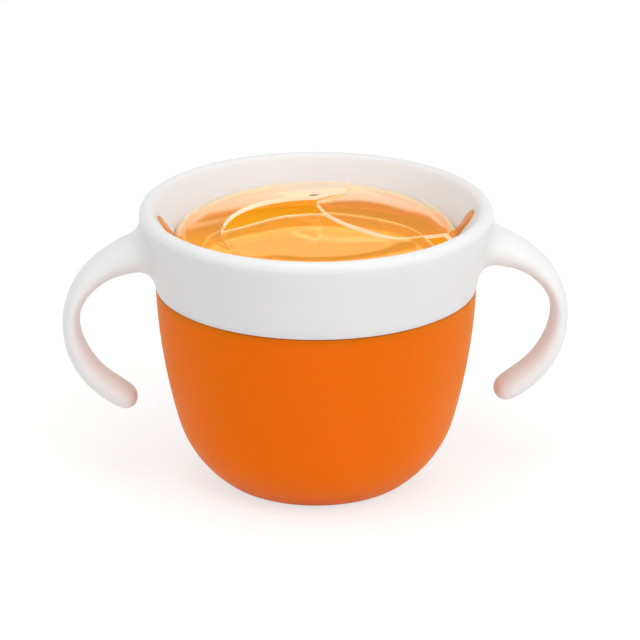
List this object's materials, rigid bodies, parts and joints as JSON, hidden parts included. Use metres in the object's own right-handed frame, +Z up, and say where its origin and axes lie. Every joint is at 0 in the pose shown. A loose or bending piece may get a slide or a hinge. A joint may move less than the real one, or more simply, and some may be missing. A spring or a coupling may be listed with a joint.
{
  "type": "toddler snack container",
  "caption": "Round snack cup with a two-handled funnel collar and a soft domed insert whose slit flaps let a small hand reach in.",
  "frame": {"origin": "centre of the flat base, on the surface the container stands on", "axes": "+Z up, along the container's axis; the two handles lie along +X and -X; -Y is the side that faces the viewer"},
  "size_m": [0.1502, 0.104, 0.0873],
  "materials": {
    "bowl": "semi-gloss translucent orange",
    "collar": "semi-gloss white",
    "insert": "satin soft orange elastomer"
  },
  "bodies": {
    "bowl": {"bowl": "bowl"},
    "collar": {"collar": "collar", "flap_ring": "insert"},
    "flap_left": {"flap_left": "insert"},
    "flap_right": {"flap_right": "insert"},
    "flap_front": {"flap_front": "insert"}
  },
  "joints": [
    {"name": "collar_lift", "type": "slide", "parent": "bowl", "child": "collar", "axis": [0, 0, 1], "range_m": [0, 0.03]},
    {"name": "flap_left_bend", "type": "hinge", "parent": "collar", "child": "flap_left", "pos_m": [-0.02057, 0.01236, 0.0793], "axis": [0.515, 0.8572, 0], "range_deg": [0, 60], "stiffness_Nm_per_rad": 0.02},
    {"name": "flap_front_bend", "type": "hinge", "parent": "collar", "child": "flap_front", "pos_m": [-0.00136, -0.02596, 0.0793], "axis": [-0.9986, 0.0523, 0], "range_deg": [0, 60], "stiffness_Nm_per_rad": 0.02},
    {"name": "flap_right_bend", "type": "hinge", "parent": "collar", "child": "flap_right", "pos_m": [0.02349, 0.00855, 0.0793], "axis": [0.342, -0.9397, 0], "range_deg": [0, 27], "stiffness_Nm_per_rad": 0.02}
  ],
  "couplings": [
    {"joint": "flap_right_bend", "follows": "flap_front_bend", "ratio": 0.45}
  ]
}
